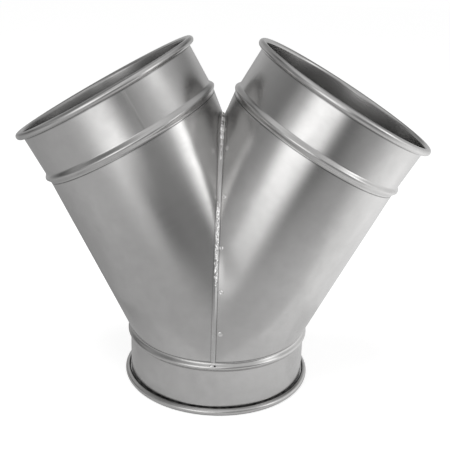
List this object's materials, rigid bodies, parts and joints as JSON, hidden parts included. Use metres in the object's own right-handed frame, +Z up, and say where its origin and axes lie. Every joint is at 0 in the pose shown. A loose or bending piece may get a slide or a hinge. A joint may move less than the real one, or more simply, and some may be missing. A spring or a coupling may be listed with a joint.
{
  "type": "duct y branch",
  "caption": "Galvanised sheet-metal Y branch for round extraction duct: a round base collar divides into leaning legs, each ending in a collar with a lock bead and a rolled clamp lip.",
  "frame": {"origin": "centre of the base lip, on the surface that the part stands on", "axes": "+Z up along the base collar's axis, +X towards the right leg, -Y towards the viewer of the picture"},
  "size_m": [0.4388, 0.2132, 0.3839],
  "materials": {
    "galvanised_collar": "satin galvanised sheet, rolled",
    "galvanised_leg": "satin galvanised sheet, formed and spot welded"
  },
  "bodies": {
    "root": {"base_collar": "galvanised_collar", "left_leg": "galvanised_leg", "right_leg": "galvanised_leg", "left_collar": "galvanised_collar", "right_collar": "galvanised_collar"}
  },
  "joints": []
}
